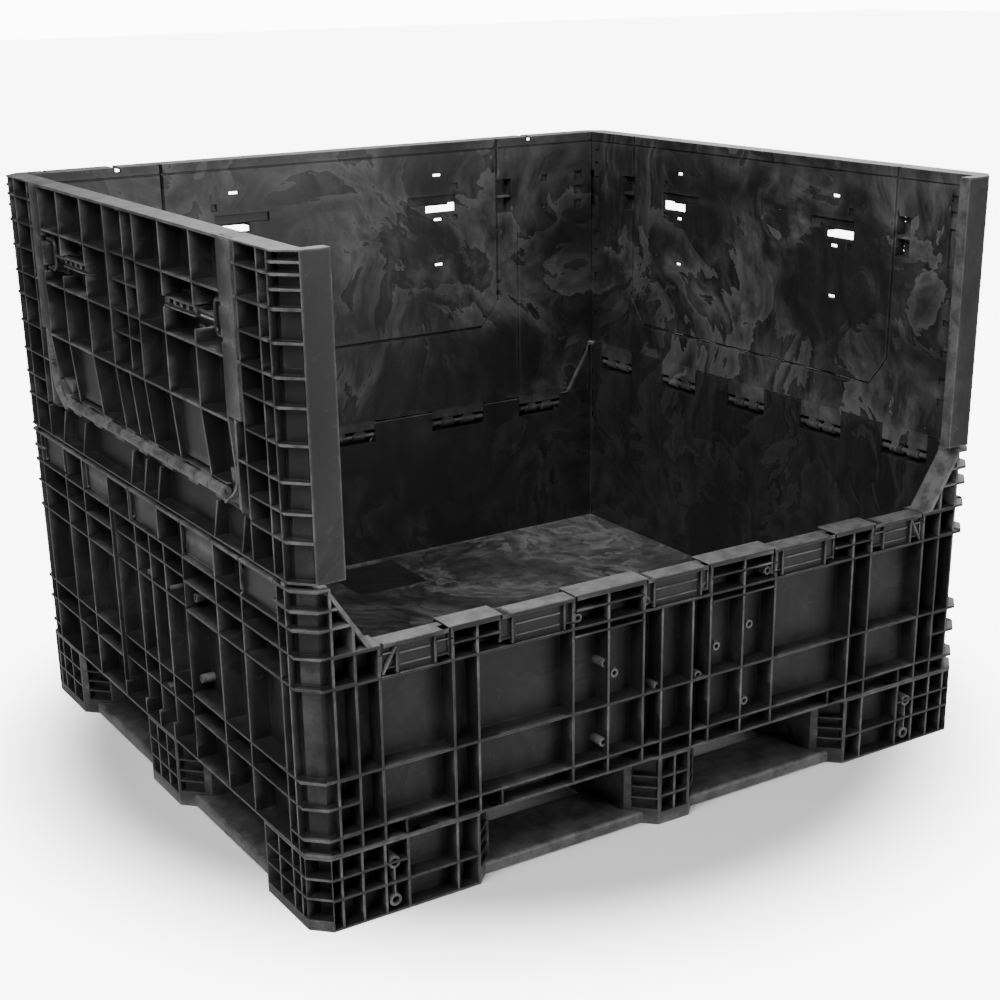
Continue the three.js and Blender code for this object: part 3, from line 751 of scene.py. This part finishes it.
def make_base():
    shell = Relief(base_edges(), DECK_UNDER + 0.3, LEDGE, closed=True)
    coat_base_ends(shell)
    coat_base_flanks(shell)
    shell.coat(CORNERS, None, CORNER_BAND, front=CORNER_SKIN)
    shelf_at(shell, CORNERS, [160, 213, 258, 412, 463, 507, 537])
    shell.coat(CORNERS, None, (HIGH_RIM, LEDGE), gone=True)
    for hand in (-1, 1):
        shelf_at(shell, FLANKS, [507, 537], span(hand, 537, 582))
        shell.coat(ENDS, span(hand, SLOPE_HIGH, 675), (HIGH_RIM, LEDGE), gone=True)
    shape = shell.build()
    for side in ENDS:
        add_slope_cheeks(shape, side)
        for u, v in BASE_BOSSES:
            shape.ring(side, u, v, (8, 4), (7, 38))
        for hand in (-1, 1):
            brace = [(hand * 571, 414), (hand * 567, 414), (hand * 543, 456), (hand * 547, 456)]
            shape.plate(side, brace, (1, 37))
    for side in FLANKS:
        for u, v in FLANK_BOSSES:
            shape.ring(side, u, v, (8, 4), (13, 38))
    walls = [f"base_wall_{side}" for side in ENDS + FLANKS]
    piece("base_shell", shape, "base", BASE_SKINS, walls)


def coat_throat(foot, edge, before=4, after=14):
    """The flared side of a fork opening: short level ribs between two smooth edges."""
    u = (before, edge.length - after)
    foot.coat(edge.name, u, (30, DECK_UNDER - 6), front=0.42)
    shelf_at(foot, edge.name, [50, 71, 92], u, width=4)


def make_corner_feet():
    x, y = LENGTH / 2, WIDTH / 2
    plan = [(30, 0), (302, 0), (347, 45), (347, 222), (45, 222), (0, 177), (0, 30)]
    names = [FACE, "throat_1", "inner", "rear", "throat_2", "flank", "corner"]
    edges = loop_edges(names, [(-x + a, -y + b) for a, b in plan], [36] * 7, [30, 0, 0, 0, 0, -177, 0])
    top = DECK_UNDER
    foot = Relief(edges, 0.3, top, closed=True)
    foot.coat_face((32, 298), (5, top - 4), front=FOOT_PANEL)
    rib_at(foot, FACE, [48, 85, 126, 168, 260], (3, top))
    shelf_at(foot, FACE, [55], (30, 300))
    shelf_at(foot, FACE, [91], (30, 168))
    foot.coat("corner", None, (20, top - 4), front=0.8)
    foot.coat("flank", (-172, -32), (20, top - 4), front=FOOT_PANEL)
    rib_at(foot, "flank", [-47, -75, -124], (18, top))
    shelf_at(foot, ["corner", "flank"], [57, 92])
    coat_throat(foot, edges[1])
    coat_throat(foot, edges[4])
    shape = foot.build((OUTSIDE, OUTSIDE))
    for v in (90, 22):
        shape.ring("front", -x + 143, v, (11, 6), (1.5, 34))
    shape.block("front", (-x + 141.5, -x + 144.5), (2, 34), (30, 80))
    for end, flip_y in (("front", 1), ("back", -1)):
        for hand, flip_x in (("left", 1), ("right", -1)):
            name = f"foot_{end}_{hand}"
            piece("ribbed_" + name, shape.mirrored(flip_x, flip_y), "base", [OUTER], [name])


def make_middle_feet():
    for sides, half, ribs in ((ENDS, 33, [-30.5, 0, 30.5]), (FLANKS, 65, [-62, -22, 22, 62])):
        for side in sides:
            flare, back = half + 45, 150
            plan = [(-half, 0), (half, 0), (flare, 45), (flare, back), (-flare, back), (-flare, 45)]
            corners = [plan_point(side, *spot) for spot in plan]
            names = [FACE, "throat_1", "cheek_1", "rear", "cheek_2", "throat_2"]
            edges = loop_edges(names, corners, [28] * 6, [-half, 0, 0, 0, 0, 0])
            foot = Relief(edges, 0.3, DECK_UNDER, closed=True)
            foot.coat_face((-half + 3, half - 3), (24, DECK_UNDER - 4), front=0.8)
            rib_at(foot, FACE, ribs, (20, DECK_UNDER))
            shelf_at(foot, FACE, [55, 91])
            coat_throat(foot, edges[1])
            coat_throat(foot, edges[5], before=14, after=4)
            shape = foot.build((OUTSIDE, OUTSIDE))
            name = f"foot_{side}_middle"
            piece("ribbed_" + name, shape, "base", [OUTER], [name])


def make_runners():
    """Rounded bars that tie the feet together, set back from their faces."""
    for side in ENDS + FLANKS:
        half, foot, middle = (LENGTH / 2, 302, 33) if side in ENDS else (WIDTH / 2, 177, 65)
        shape = Shape()
        for hand in (-1, 1):
            far, near = half - foot + 10, middle - 8
            outline = [(hand * far, 20), (hand * near, 20), (hand * near, 148), (hand * far, 148)]
            shape.prism(*[[at(side, u, w, v) for u, w in outline] for v in (0.2, 24)])
        name = f"runner_{side}"
        piece("rounded_" + name, shape, "base", [OUTER], [name], bevel=7, segments=4)


# ---- upper walls
RAIL_LOW = 582
RAIL_DEEP = 10
LATCH_FRAME = (899, 982)
LATCH_HOLES = ((903, 937), (943, 978))
BOLT_FRAME = (896, 984)
BOLT_RECESS = 0.84
BOLT_POCKET = (900, 980)


def coat_doorway(wall, half):
    """The opening for a drop door, with cut lower corners and a seat for the door's laps."""
    u_cut, v_cut = DOOR_CUT
    mouth, low, bend = half + SEAM, DOOR_LOW - SEAM, DOOR_LOW + v_cut
    wall.coat_face((-mouth, mouth), (low, HEIGHT), gone=True)
    for hand in (-1, 1):
        wall.coat_face(span(hand, half - u_cut, mouth), (low, bend), gone=False, front=LAP_SEAT)
        wall.coat_face(span(hand, mouth, mouth + 2.5), (bend, HEIGHT), back=GROOVE)
        wall.coat_face(span(hand, half, half + LAP + SEAM), (LAP_LOW - SEAM, HEIGHT), least=0.17)
        wall.coat_face(span(hand, mouth, mouth + RIB), (bend, HEIGHT), front=0.2)
        wall.coat_face(span(hand, mouth, half + 43), LATCH_FRAME, front=0.2)
        for v in LATCH_HOLES:
            wall.coat_face(span(hand, mouth, half + 40), v, gone=True)
    wall.coat_face((u_cut - half, half - u_cut), (low - 2.5, low), back=GROOVE)


def corner_slant(half, on_door):
    """Slides upright lines sideways, so that a door's lower corners and the wall round them slope."""
    u_cut, v_cut = DOOR_CUT
    near, mouth = half - u_cut, half + SEAM

    def slant(u, v):
        edge = half if on_door else mouth
        if not near <= abs(u) <= edge or not DOOR_LOW - SEAM <= v <= DOOR_LOW + v_cut:
            return u
        rise = (v - DOOR_LOW) / v_cut
        if on_door:
            return math.copysign(near + (abs(u) - near) * max(0.05, rise), u)
        return math.copysign(mouth - (mouth - abs(u)) * min(1, max(0.05, 1 - rise)), u)
    return slant


def rail_taper(thickness, high):
    """Draws the outer line in towards the door's hinge, and out again above it up to high."""
    def taper(u, v):
        if v < RAIL_LOW or v > high or abs(u) > SIDE_DOOR + 22:
            return 0
        if v <= DOOR_LOW:
            share = (v - RAIL_LOW) / (DOOR_LOW - RAIL_LOW)
        else:
            share = (high - v) / (high - HINGE_V - 14)
        return min(1, share) * RAIL_DEEP / thickness
    return taper


KNUCKLES = 13
KNUCKLE_RADIUS = 9.5


def add_door_knuckles(shape, side, half, on_door):
    """Alternate knuckles round the door's rod, each on its own arm."""
    reach = half - DOOR_CUT[0] - 6
    pitch = 2 * reach / KNUCKLES
    for i in range(KNUCKLES):
        if (i % 2 == 1) != on_door:
            continue
        u = (-reach + i * pitch + 1, -reach + (i + 1) * pitch - 1)
        shape.barrel(side, KNUCKLE_RADIUS, u, HINGE_W, HINGE_V)
        arm = (HINGE_V, HINGE_V + 15) if on_door else (DOOR_LOW - 4, HINGE_V)
        middle = (u[0] + 6, u[1] - 6)
        shape.block(side, middle, (HINGE_W + 1, HINGE_W + 9), arm)


def add_doorway_rims(shape, side, half):
    """The raised rib down a doorway's side and round its cut corner, and the latch pockets' floors."""
    for hand in (-1, 1):
        shape.block(side, span(hand, half + SEAM, half + 41), (15.6, 18), (902, 979), INSIDE)
        course = [(half + 20, LAP_LOW - 1), (half + 20, 712), (half + 10, 686), (half - 12, 668),
                  (half - 40, 652)]
        for (u0, v0), (u1, v1) in zip(course, course[1:]):
            slope = Vector((u1 - u0, v1 - v0)).normalized()
            off = Vector((-slope.y, slope.x)) * 2.2
            ends = [Vector((u0, v0)) - slope, Vector((u1, v1)) + slope]
            outline = [ends[0] - off, ends[1] - off, ends[1] + off, ends[0] + off]
            shape.plate(side, [(hand * spot.x, spot.y) for spot in outline], (1, 22))


def add_wall_knuckles(shape, side, hinges, pin, foot, thickness):
    """The barrels that hang an upper wall on its pins, and the strip they grow from."""
    pin_w, pin_v = pin
    for centre, half in hinges:
        strip = (centre - half + 0.8, centre + half - 0.8)
        shape.block(side, strip, (pin_w - 8, thickness - 0.5), (pin_v + 13, foot + 3), INSIDE)
        for hand in (-1, 1):
            u = tuple(centre + end for end in span(hand, 0.14 * half, 0.62 * half))
            shape.barrel(side, KNUCKLE_RADIUS, u, pin_w, pin_v, finish=INSIDE)
            arm = (u[0] + 3, u[1] - 3)
            shape.block(side, arm, (pin_w - 9, pin_w + 8), (pin_v, pin_v + 14), INSIDE)


SIDE_LEVELS = [645, 688, 735, 790, 845, 888, 937, 985, 1033]
SIDE_SLOTS = [(640, 655), (682, 694), (733, 746), (790, 802), (832, 844), (897, 968), (990, 1000),
              (1016, 1028)]


def finish_wall(side, shape, half, hinges, pin, foot, thickness, body):
    """Gives a moulded upper wall its knuckles and rims, and makes it a piece."""
    add_wall_knuckles(shape, side, hinges, pin, foot, thickness)
    add_door_knuckles(shape, side, half, on_door=False)
    add_doorway_rims(shape, side, half)
    piece(f"{side}_upper_wall", shape, body, WALL_SKINS, [f"{side}_wall"])


def make_side_walls():
    for side in FLANKS:
        wall = Relief(upper_wall_edges(side), WALL_LOW, HEIGHT, taper=rail_taper(SIDE_T, DOOR_LOW),
                      slant=corner_slant(SIDE_DOOR, on_door=False))
        wall.coat_face((-580, 580), (584.5, THIN_RIM), front=PANEL)
        for lip in ("lip_1", "lip_2"):
            edge = next(edge for edge in wall.edges if edge.name == lip)
            wall.coat(lip, (edge.first + 4, edge.last - 4), (584, HEIGHT - 4), front=0)
            root = sorted((edge.first, edge.last), key=abs)[0]
            wall.coat(lip, tuple(sorted((root, root + math.copysign(8, root)))), BOLT_POCKET, back=0.7)
        chamfers = ["chamfer_1", "chamfer_2"]
        wall.coat(chamfers, None, (584.5, THIN_RIM), front=CORNER_SKIN)
        shelf_at(wall, chamfers, SIDE_LEVELS + [1012, 1050], width=4.5)
        wall.coat(chamfers, None, BOLT_POCKET, back=0.45)
        for hand in (-1, 1):
            wall.coat_face(span(hand, 570, 582), (584.5, THIN_RIM), front=CORNER_SKIN)
            shelf_at(wall, FACE, SIDE_LEVELS, span(hand, 462, 582), width=4.5)
            shelf_at(wall, FACE, [1012, 1050], span(hand, 568, 582), width=4.5)
            shelf_at(wall, FACE, [735, 888, 985, 1033], span(hand, 408, 462), width=4.5)
            wall.coat_face(span(hand, 424, 432), (DOOR_LOW, LAP_LOW), front=0)
            wall.coat_face(span(hand, 559, 568), BOLT_FRAME, front=CORNER_SKIN)
            wall.coat_face(span(hand, 563, 582), BOLT_POCKET, back=0.6)
        rib_at(wall, FACE, both([570, 537, 462]), (RAIL_LOW, HEIGHT))
        wall.coat_face((-422, 422), (584.5, DOOR_LOW - SEAM), front=0.55)
        rib_at(wall, FACE, [422, 317, 82, 20, -43, -283, -393], (RAIL_LOW, DOOR_LOW - SEAM))
        wall.coat_face((-462, 462), (642, DOOR_LOW - SEAM), front=LAP_SEAT)
        coat_doorway(wall, SIDE_DOOR)
        for hand in (-1, 1):
            for v in SIDE_SLOTS:
                wall.coat_face(span(hand, 541, 559), v, back=GROOVE)
        wall.coat_face(None, RIM_LINE, back=FINE_GROOVE)
        finish_wall(side, wall.build(), SIDE_DOOR, SIDE_HINGES, SIDE_PIN, WALL_LOW, SIDE_T, "base")


FOOT_IN, FOOT_OUT = 586, 650  # the back wall's lower corners slope between these


def make_back_wall():
    by_door = corner_slant(BACK_DOOR, on_door=False)

    def slant(u, v):
        """Slopes the wall's own lower corners too, beside the sloping ends of the sill."""
        if not FOOT_IN <= abs(u) <= FOOT_OUT or v > LEDGE:
            return by_door(u, v)
        rise = (v - BACK_LOW) / (LEDGE - BACK_LOW)
        return math.copysign(FOOT_IN + (abs(u) - FOOT_IN) * max(0.05, rise), u)

    wall = Relief(straight_edge("back", 658, END_T), BACK_LOW, HEIGHT, slant=slant)
    wall.coat_face((-655, 655), (477, THICK_RIM), front=BACK_PANEL)
    rib_at(wall, FACE, both([619.5, 580, 530, 462, 300, 150, 0]), (474, HEIGHT))
    for hand in (-1, 1):
        shelf_at(wall, FACE, [600, 690, 790, 888, 990], span(hand, 462, 622))
        wall.coat_face(span(hand, 622, 658), (BACK_LOW, HEIGHT), front=0.5)
        wall.coat_face(span(hand, FOOT_OUT, 658), (BACK_LOW, 580), gone=True)
        wall.coat_face(span(hand, FOOT_IN, FOOT_OUT), (BACK_LOW, LEDGE), back=1.0)
        wall.coat_face(span(hand, 480, 492), (1058, HEIGHT), gone=True)
        for v in ((965, 980), (900, 915)):
            wall.coat_face(span(hand, 518, 534), v, back=BOLT_RECESS)
        for v in ((898, 918), (930, 950), (962, 982)):
            wall.coat_face(span(hand, 610, 632), v, back=BOLT_RECESS)
        wall.coat_face(span(hand, 450, 454), (485, 880), back=FINE_GROOVE)
    shelf_at(wall, FACE, [560], (-580, 580))
    wall.coat_face((-462, 462), (600, DOOR_LOW - SEAM), front=0.35)
    rib_at(wall, FACE, both([422, 317, 82, 20]), (600, DOOR_LOW - SEAM))
    wall.coat_face((-462, 462), (642, DOOR_LOW - SEAM), front=LAP_SEAT)
    coat_doorway(wall, BACK_DOOR)
    wall.coat_face(None, RIM_LINE, back=FINE_GROOVE)
    finish_wall("back", wall.build(), BACK_DOOR, BACK_HINGES, BACK_PIN, BACK_LOW, END_T, "back_wall")


# ---- drop doors
def coat_door(door, half, hand):
    """One hand of a door: lap, latch bay, finger slot and small vents."""
    door.coat_face(span(hand, half, half + LAP), (DOOR_LOW, LAP_LOW), gone=True)
    door.coat_face(span(hand, half, half + LAP), (LAP_LOW, HEIGHT), front=0, back=0.136)
    door.coat_face(span(hand, half - 52, half - 6), (905, 977), front=0.66)
    for v in LATCH_V:
        door.coat_face(span(hand, half - 6, half), (v - 5, v + 5), front=0.36)
    near, far = half - 108, half - 230
    door.coat_face(span(hand, far, near), (937, 955), back=0.86)
    door.coat_face(span(hand, far, near), (929, 932), front=0.06)
    door.coat_face(span(hand, far, near), (932, 946), front=0.12)
    door.coat_face(span(hand, near - 77, near), (919, 929), gone=True)
    door.coat_face(span(hand, near - 77, near), (929, 937), back=0.3)
    for i in range(4):
        hole = far + 18 + i * 26
        door.coat_face(span(hand, hole, hole + 15), (936, 943), front=0.5)
    door.coat_face(span(hand, 297, 303), (912, 949), front=0.8)
    for v in (999, 903, 804):
        door.coat_face(span(hand, 232, 254), (v - 3, v + 3), gone=True)
    for v in (972, 905):
        door.coat_face(span(hand, 282, 295), (v - 7, v + 7), back=0.86)
    u_cut, v_cut = DOOR_CUT
    door.coat_face(span(hand, half - u_cut, half), (DOOR_LOW, DOOR_LOW + v_cut), front=LAP_SEAT)
    door.coat_face(span(hand, half - 2.5, half), (DOOR_LOW, HEIGHT), back=GROOVE)


DOORS = (("left", SIDE_DOOR, SIDE_T), ("right", SIDE_DOOR, SIDE_T), ("back", BACK_DOOR, END_T))


def make_doors():
    for side, half, thickness in DOORS:
        door = Relief(straight_edge(side, half + LAP, thickness), DOOR_LOW, HEIGHT,
                      taper=rail_taper(thickness, 790), slant=corner_slant(half, on_door=True))
        door.coat_face((-half + 5, half - 5), (HINGE_V + 16, THICK_RIM), front=PANEL)
        rib_at(door, FACE, both([300, 178, 67, 0]), (HINGE_V + 14, HEIGHT))
        shelf_at(door, FACE, [790, 888, 985], (-half, half))
        shelf_at(door, FACE, [850, 940], (-67, 67))
        door.coat_face((-64.5, 64.5), (793, 1060), least=0.14)
        for panel in ((-297.5, -180.5), (180.5, 297.5)):
            door.coat_face(panel, (HINGE_V + 20, 787), front=0.3)
        hinge_zone = half - DOOR_CUT[0]
        door.coat_face((-hinge_zone, hinge_zone), (DOOR_LOW, HINGE_V + 14), front=0.5)
        door.coat_face((-half, half), (DOOR_LOW, DOOR_LOW + 2.5), back=GROOVE)
        for hand in (-1, 1):
            coat_door(door, half, hand)
        door.coat_face((-half, half), RIM_LINE, back=FINE_GROOVE)
        shape = door.build()
        add_door_knuckles(shape, side, half, on_door=True)
        body = f"{side}_door"
        piece(f"{side}_drop_door", shape, body, WALL_SKINS, [body])
        for hand, letter in ((-1, "a"), (1, "b")):
            make_door_latch(side, half, hand, f"{side}_door_latch_{letter}")


def make_door_latch(side, half, hand, name):
    """A bar bent into a loop, with a short guide rod behind it."""
    low, high = LATCH_V
    curve = 13
    tip, bend = half - 2, half - 45 + curve
    turns = [math.pi / 2 * i / 6 for i in range(7)]
    path = [(tip, low)]
    path += [(bend - curve * math.sin(a), low + curve - curve * math.cos(a)) for a in turns]
    path += [(bend - curve * math.cos(a), high - curve + curve * math.sin(a)) for a in turns]
    path.append((tip, high))
    shape = Shape()
    shape.sweep(side, [(hand * u, v) for u, v in path], 3.6, LATCH_W)
    middle = (low + high) / 2
    shape.sweep(side, [(hand * (half - 44), middle), (hand * (half - 104), middle)], 2.4, LATCH_W)
    piece("bent_" + name, shape, name, [LATCH_SKIN], [name], bevel=0.6)


def make_corner_latches():
    """Ribbed bolts at the ends of the back wall, each with a grip of two fins."""
    for hand, letter in ((-1, "a"), (1, "b")):
        name = f"back_corner_latch_{letter}"
        shape = Shape()
        shape.block("back", span(hand, 526, 656), (34, 41), (903, 977))
        for v in (903, 926, 949, 973):
            shape.block("back", span(hand, 527, 655), (28, 35), (v, v + 4))
        for u in (526, 536):
            shape.block("back", span(hand, u, u + 6), (8, 36), (915, 965))
        piece("bolted_" + name, shape, name, [LATCH_SKIN], [name], bevel=1.2)


# ---- carried-over parts
def finish_frame_parts():
    """The frame's own parts that show keep their shape and get eased edges and a finish."""
    skins = {"deck_floor": FLOOR_SKIN, "floor_cover_plate": PLATE_SKIN}
    for name, node in frame["nodes"].items():
        if name in skins:
            skin = skins[name]
        elif "pin" in name or "rod" in name:
            skin = PIN_SKIN
        elif name.startswith(("runner_centre", "foot_centre")):
            skin = OUTER
        else:
            continue
        node.data.materials.clear()
        node.data.materials.append(skin)
        if skin is not PIN_SKIN:
            ease_edges(node, 1.0)


# ---- studio
def make_floor():
    """A pale sheet that shows as plain white from the camera, except close round the container."""
    reach = 40
    ground = bpy.data.meshes.new("studio_floor")
    corners = [(-reach, -reach, 0), (reach, -reach, 0), (reach, reach, 0), (-reach, reach, 0)]
    ground.from_pydata([Vector(c) for c in corners], [], [(0, 1, 2, 3)])
    floor = new_object("studio_floor", ground)
    paint = bpy.data.materials.new("pale_floor")
    paint.use_nodes = True
    skin = paint.node_tree.nodes["Principled BSDF"]
    skin.inputs["Base Color"].default_value = (0.93, 0.93, 0.93, 1)
    skin.inputs["Roughness"].default_value = 0.9
    skin.inputs["Specular IOR Level"].default_value = 0.1
    nodes = Nodes(paint.node_tree)
    sheet = nodes.make("ShaderNodeEmission", {"Color": (1, 1, 1, 1), "Strength": 14.0})
    seen = nodes.make("ShaderNodeLightPath").outputs["Is Camera Ray"]
    where = nodes.make("ShaderNodeTexCoord").outputs["Object"]
    away = nodes.make("ShaderNodeVectorMath", {0: where}, operation="LENGTH").outputs["Value"]
    share = nodes.math("MULTIPLY", seen, nodes.remap(away, 0.75, 1.15, 0.0, 0.6))
    mixed = nodes.make("ShaderNodeMixShader", {0: share, 1: skin.outputs[0], 2: sheet.outputs[0]})
    nodes.join(mixed.outputs[0], paint.node_tree.nodes["Material Output"].inputs["Surface"])
    ground.materials.append(paint)


# Each lamp: name, width, watts, where it stands and what it points at, in metres.
LAMPS = [
    ("key", 2.5, 170, (-2.4, -1.6, 3.4), (0, 0, 0.5)),
    ("front_fill", 2.4, 75, (1.6, -3.8, 1.5), (0, -0.4, 0.4)),
    ("far_fill", 2.4, 70, (3.6, 2.6, 1.5), (0, 0, 0.5)),
    ("back_glow", 2.2, 90, (1.2, 2.6, 3.2), (0, 0, 0.4)),
]


def make_light(name, size, power, place, target):
    lamp = bpy.data.lights.new(name, "AREA")
    lamp.shape = "DISK"
    lamp.size = size
    lamp.energy = power
    thing = new_object(name, lamp)
    thing.location = place
    thing.rotation_mode = "QUATERNION"
    thing.rotation_quaternion = (Vector(target) - Vector(place)).to_track_quat("-Z", "Y")


def make_studio():
    """A plain white backdrop for the camera and a soft glow from above for everything else."""
    world = bpy.data.worlds.new("studio")
    bpy.context.scene.world = world
    world.use_nodes = True
    nodes = Nodes(world.node_tree)
    glow = world.node_tree.nodes["Background"]
    up = nodes.make("ShaderNodeTexCoord").outputs["Generated"]
    height = nodes.make("ShaderNodeSeparateXYZ", {0: up}).outputs["Z"]
    nodes.join(nodes.remap(height, 0.0, 0.8, 0.22, 1.5), glow.inputs["Strength"])
    paper = nodes.make("ShaderNodeBackground", {"Color": (1, 1, 1, 1), "Strength": 12.0})
    seen = nodes.make("ShaderNodeLightPath").outputs["Is Camera Ray"]
    mixed = nodes.make("ShaderNodeMixShader", {0: seen, 1: glow.outputs[0], 2: paper.outputs[0]})
    nodes.join(mixed.outputs[0], world.node_tree.nodes["World Output"].inputs["Surface"])
    for lamp in LAMPS:
        make_light(*lamp)
    make_floor()


CAMERA_PLACE = (-1.6988, -2.7228, 1.4220)
CAMERA_TURN = (70.161, 0.892, -32.449)
LENS_LENGTH = 61.25
LENS_SHIFT = (0.0087, 0.0833)


def make_camera():
    lens = bpy.data.cameras.new("camera")
    lens.sensor_width = 36
    lens.lens = LENS_LENGTH
    lens.shift_x, lens.shift_y = LENS_SHIFT
    camera = new_object("camera", lens)
    camera.location = CAMERA_PLACE
    camera.rotation_euler = Euler([math.radians(angle) for angle in CAMERA_TURN], "XYZ")
    bpy.context.scene.camera = camera


make_base()
make_corner_feet()
make_middle_feet()
make_runners()
make_side_walls()
make_back_wall()
make_doors()
make_corner_latches()
finish_frame_parts()
make_studio()
make_camera()
